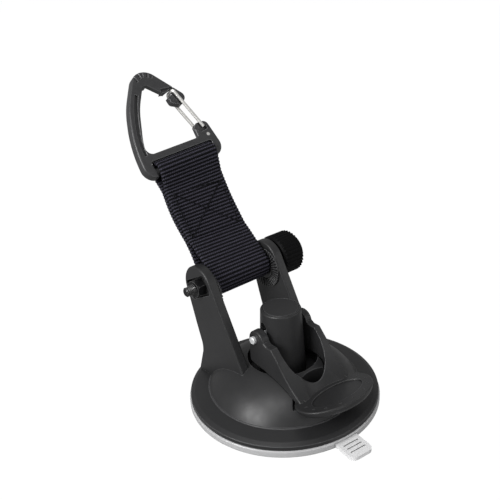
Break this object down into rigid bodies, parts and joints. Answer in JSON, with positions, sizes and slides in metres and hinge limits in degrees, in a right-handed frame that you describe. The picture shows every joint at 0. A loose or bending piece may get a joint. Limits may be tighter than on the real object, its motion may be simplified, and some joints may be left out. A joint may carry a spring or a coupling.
{
  "type": "suction cup tie-down anchor",
  "caption": "Lever-lock suction cup on a clear pad, with a clamped webbing loop that ends in a triangular wire-gate carabiner, for tying light loads to smooth surfaces.",
  "frame": {"origin": "centre of the suction pad's underside, on the surface it holds to", "axes": "+Z away from the surface, X along the clamp bolt with the knob at +X, the cam lever points to -Y"},
  "size_m": [0.08, 0.1347, 0.1268],
  "materials": {
    "black_plastic": "fine spark-eroded texture, satin",
    "inner_plastic": "smooth moulded",
    "clear_pad": "clear soft vinyl, glossy",
    "webbing": "ribbed polyester webbing",
    "thread": "bonded sewing thread",
    "grey_anodised": "dark grey anodised, satin",
    "bright_steel": "polished stainless wire and pin",
    "black_steel": "black oxide, slightly oily",
    "screw_steel": "zinc plated",
    "spring_steel": "drawn wire"
  },
  "bodies": {
    "base": {"base_housing": "black_plastic", "guide_post": "black_plastic", "post_cap": "black_plastic", "post_screws": "screw_steel", "suction_pad": "clear_pad", "return_spring": "spring_steel", "rosette_left": "black_plastic", "rosette_right": "black_plastic", "strap_bushing": "inner_plastic", "hex_nut": "black_steel"},
    "plunger_unit": {"plunger": "inner_plastic", "lever_pin": "bright_steel"},
    "lever": {"lever": "black_plastic"},
    "knob_unit": {"clamp_bolt": "black_steel", "knob": "black_plastic", "knob_washer": "black_steel"},
    "strap": {"webbing_strap": "webbing", "strap_stitching": "thread"},
    "carabiner": {"carabiner_body": "grey_anodised"},
    "gate": {"wire_gate": "bright_steel"}
  },
  "joints": [
    {"name": "lever_hinge", "type": "hinge", "parent": "plunger_unit", "child": "lever", "pos_m": [0, 0.0015, 0.0315], "axis": [-1, 0, 0], "range_deg": [0, 95]},
    {"name": "plunger_slide", "type": "slide", "parent": "base", "child": "plunger_unit", "axis": [0, 0, 1], "range_m": [-0.0031, 0], "deforming": ["suction_pad", "return_spring"]},
    {"name": "knob_turn", "type": "hinge", "parent": "base", "child": "knob_unit", "pos_m": [0, 0.02846, 0.04738], "axis": [1, 0, 0], "continuous": true},
    {"name": "strap_swing", "type": "hinge", "parent": "base", "child": "strap", "pos_m": [0, 0.02846, 0.04738], "axis": [-1, 0, 0], "range_deg": [-125, 80]},
    {"name": "carabiner_pivot", "type": "hinge", "parent": "strap", "child": "carabiner", "pos_m": [-0.00011, 0.05867, 0.09052], "axis": [0.9956, 0.054, 0.0771], "range_deg": [-100, 100]},
    {"name": "gate_hinge", "type": "hinge", "parent": "carabiner", "child": "gate", "pos_m": [0.01542, 0.06378, 0.09782], "axis": [0, -0.8192, 0.5736], "range_deg": [0, 25], "stiffness_Nm_per_rad": 0.03, "springref_deg": -28.65}
  ],
  "couplings": [
    {"joint": "plunger_slide", "follows": "lever_hinge", "m_per_rad": -0.0018093}
  ]
}
